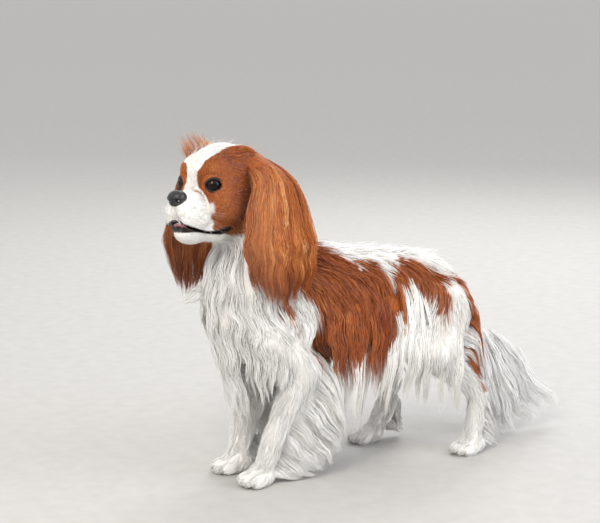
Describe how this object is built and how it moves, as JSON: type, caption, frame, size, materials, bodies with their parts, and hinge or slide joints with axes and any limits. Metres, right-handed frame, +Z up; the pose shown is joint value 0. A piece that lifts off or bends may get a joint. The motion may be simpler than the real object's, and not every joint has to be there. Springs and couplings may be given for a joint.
{
  "type": "cavalier king charles spaniel",
  "caption": "Life-size still model of a standing toy spaniel with a long, wavy chestnut and white coat, its head turned a little to its left.",
  "frame": {"origin": "on the floor, at the middle of the model's length and width", "axes": "+Z up; the animal faces -X, and its left side is towards -Y"},
  "size_m": [0.6698, 0.2026, 0.4603],
  "materials": {
    "white_coat": "soft silky white fur",
    "chestnut_coat": "soft silky chestnut fur",
    "nose_leather": "moist dark grey-black, finely pebbled",
    "eye_gloss": "wet, very dark brown",
    "tongue": "moist pink"
  },
  "bodies": {
    "root": {"head": "white_coat", "nose": "nose_leather", "tongue": "tongue", "eye_left": "eye_gloss", "eye_right": "eye_gloss", "ear_left": "chestnut_coat", "ear_right": "chestnut_coat", "neck": "white_coat", "chest": "white_coat", "torso": "chestnut_coat", "hindquarters": "white_coat", "tail": "white_coat", "foreleg_left": "white_coat", "foreleg_right": "white_coat", "forepaw_left": "white_coat", "forepaw_right": "white_coat", "hindleg_left": "white_coat", "hindleg_right": "white_coat", "hock_left": "white_coat", "hock_right": "white_coat", "hindpaw_left": "white_coat", "hindpaw_right": "white_coat"}
  },
  "joints": []
}
